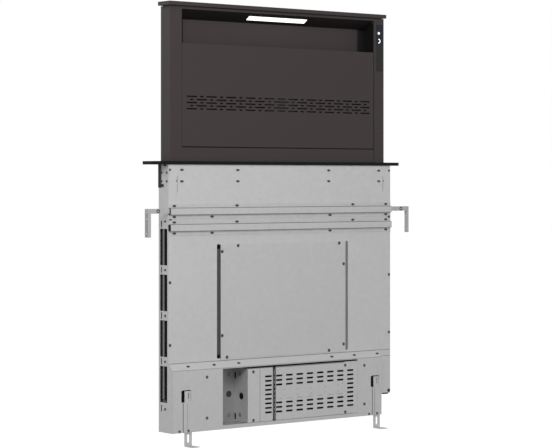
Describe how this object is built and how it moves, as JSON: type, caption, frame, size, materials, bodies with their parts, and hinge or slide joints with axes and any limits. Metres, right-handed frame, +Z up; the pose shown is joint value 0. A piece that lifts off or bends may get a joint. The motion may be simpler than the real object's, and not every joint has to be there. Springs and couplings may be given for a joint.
{
  "type": "telescopic downdraft vent",
  "caption": "Slim cooktop extractor whose tower rises through a worktop slot out of a galvanised chassis, with a lit air intake, touch strip and adjustable feet.",
  "frame": {"origin": "middle of the tower in plan, on the worktop plane, which is the underside of the worktop flange", "axes": "+Z up, the way the tower rises; -Y front, the side of the light and the touch strip; +X to the right seen from the front"},
  "size_m": [0.972, 0.1315, 1.247],
  "materials": {
    "galvanised": "galvanised sheet, satin with faint spangle",
    "tower_paint": "fine-textured warm dark grey powder coat",
    "flange_black": "satin black coat",
    "seal_rubber": "matte",
    "belt_rubber": "matte",
    "guide_plastic": "moulded black",
    "drive_nylon": "natural nylon",
    "rail_steel": "plain drawn",
    "pulley_aluminium": "turned",
    "gearbox_metal": "die cast",
    "motor_metal": "satin",
    "zinc_screw": "zinc plated",
    "filter_aluminium": "knitted mesh",
    "light_diffuser": "opal, lit",
    "touch_glass": "back-printed black glass",
    "circuit_board": "solder mask",
    "transformer_core": "varnished laminations"
  },
  "bodies": {
    "root": {"blower_cover": "galvanised", "board_spacers": "drive_nylon", "box_back_plate": "galvanised", "box_bottom_plate": "galvanised", "box_right_wall": "galvanised", "box_screws": "zinc_screw", "chassis_front_panel": "galvanised", "chassis_screws": "zinc_screw", "control_board": "circuit_board", "control_cover": "galvanised", "cover_screws": "zinc_screw", "drive_belts": "belt_rubber", "electronics_box": "galvanised", "foot_screws": "zinc_screw", "gearboxes": "gearbox_metal", "guide_rails": "rail_steel", "idler_pins": "zinc_screw", "left_side_wall": "galvanised", "lift_motors": "motor_metal", "limit_switches": "guide_plastic", "lower_box_front": "galvanised", "lower_channel": "galvanised", "motor_brackets": "galvanised", "plenum_floor": "galvanised", "rear_pan": "galvanised", "recess_tray": "galvanised", "right_side_wall": "galvanised", "step_strip": "galvanised", "terminal_block": "guide_plastic", "terminal_cover": "galvanised", "top_guides": "guide_plastic", "tower_wiper": "seal_rubber", "transformer": "transformer_core", "upper_channel": "galvanised", "worktop_flange": "flange_black"},
    "tower": {"base_frame": "galvanised", "belt_clamps": "drive_nylon", "filter_retainer": "galvanised", "front_panel": "tower_paint", "guide_shoes": "drive_nylon", "header_plate": "tower_paint", "led_board": "circuit_board", "left_grease_filter": "filter_aluminium", "left_post": "tower_paint", "light_housing": "tower_paint", "light_lens": "light_diffuser", "lower_front_panel": "tower_paint", "recess_back_panel": "tower_paint", "right_grease_filter": "filter_aluminium", "right_post": "tower_paint", "touch_board": "circuit_board", "touch_glass": "touch_glass", "tower_back_panel": "tower_paint", "tower_cap": "tower_paint"},
    "drive_pulleys": {"drive_pulleys": "pulley_aluminium"},
    "idler_pulleys": {"idler_pulleys": "pulley_aluminium"},
    "left_foot": {"left_foot": "galvanised"},
    "right_foot": {"right_foot": "galvanised"},
    "left_arm": {"left_arm": "galvanised"},
    "right_arm": {"right_arm": "galvanised"}
  },
  "joints": [
    {"name": "tower_lift", "type": "slide", "parent": "root", "child": "tower", "axis": [0, 0, 1], "range_m": [-0.4365, 0]},
    {"name": "drive_turn", "type": "hinge", "parent": "root", "child": "drive_pulleys", "pos_m": [0, -0.0115, -0.672], "axis": [1, 0, 0], "range_deg": [-5, 1677]},
    {"name": "idler_turn", "type": "hinge", "parent": "root", "child": "idler_pulleys", "pos_m": [0, -0.0115, -0.084], "axis": [1, 0, 0], "range_deg": [-5, 1677]},
    {"name": "left_foot_slide", "type": "slide", "parent": "root", "child": "left_foot", "axis": [0, 0, 1], "range_m": [-0.06, 0]},
    {"name": "right_foot_slide", "type": "slide", "parent": "root", "child": "right_foot", "axis": [0, 0, 1], "range_m": [-0.06, 0]},
    {"name": "left_arm_slide", "type": "slide", "parent": "root", "child": "left_arm", "axis": [-1, 0, 0], "range_m": [-0.055, 0.06]},
    {"name": "right_arm_slide", "type": "slide", "parent": "root", "child": "right_arm", "axis": [1, 0, 0], "range_m": [-0.055, 0.06]}
  ],
  "couplings": [
    {"joint": "drive_turn", "follows": "tower_lift", "rad_per_m": -66.667},
    {"joint": "idler_turn", "follows": "tower_lift", "rad_per_m": -66.667}
  ]
}
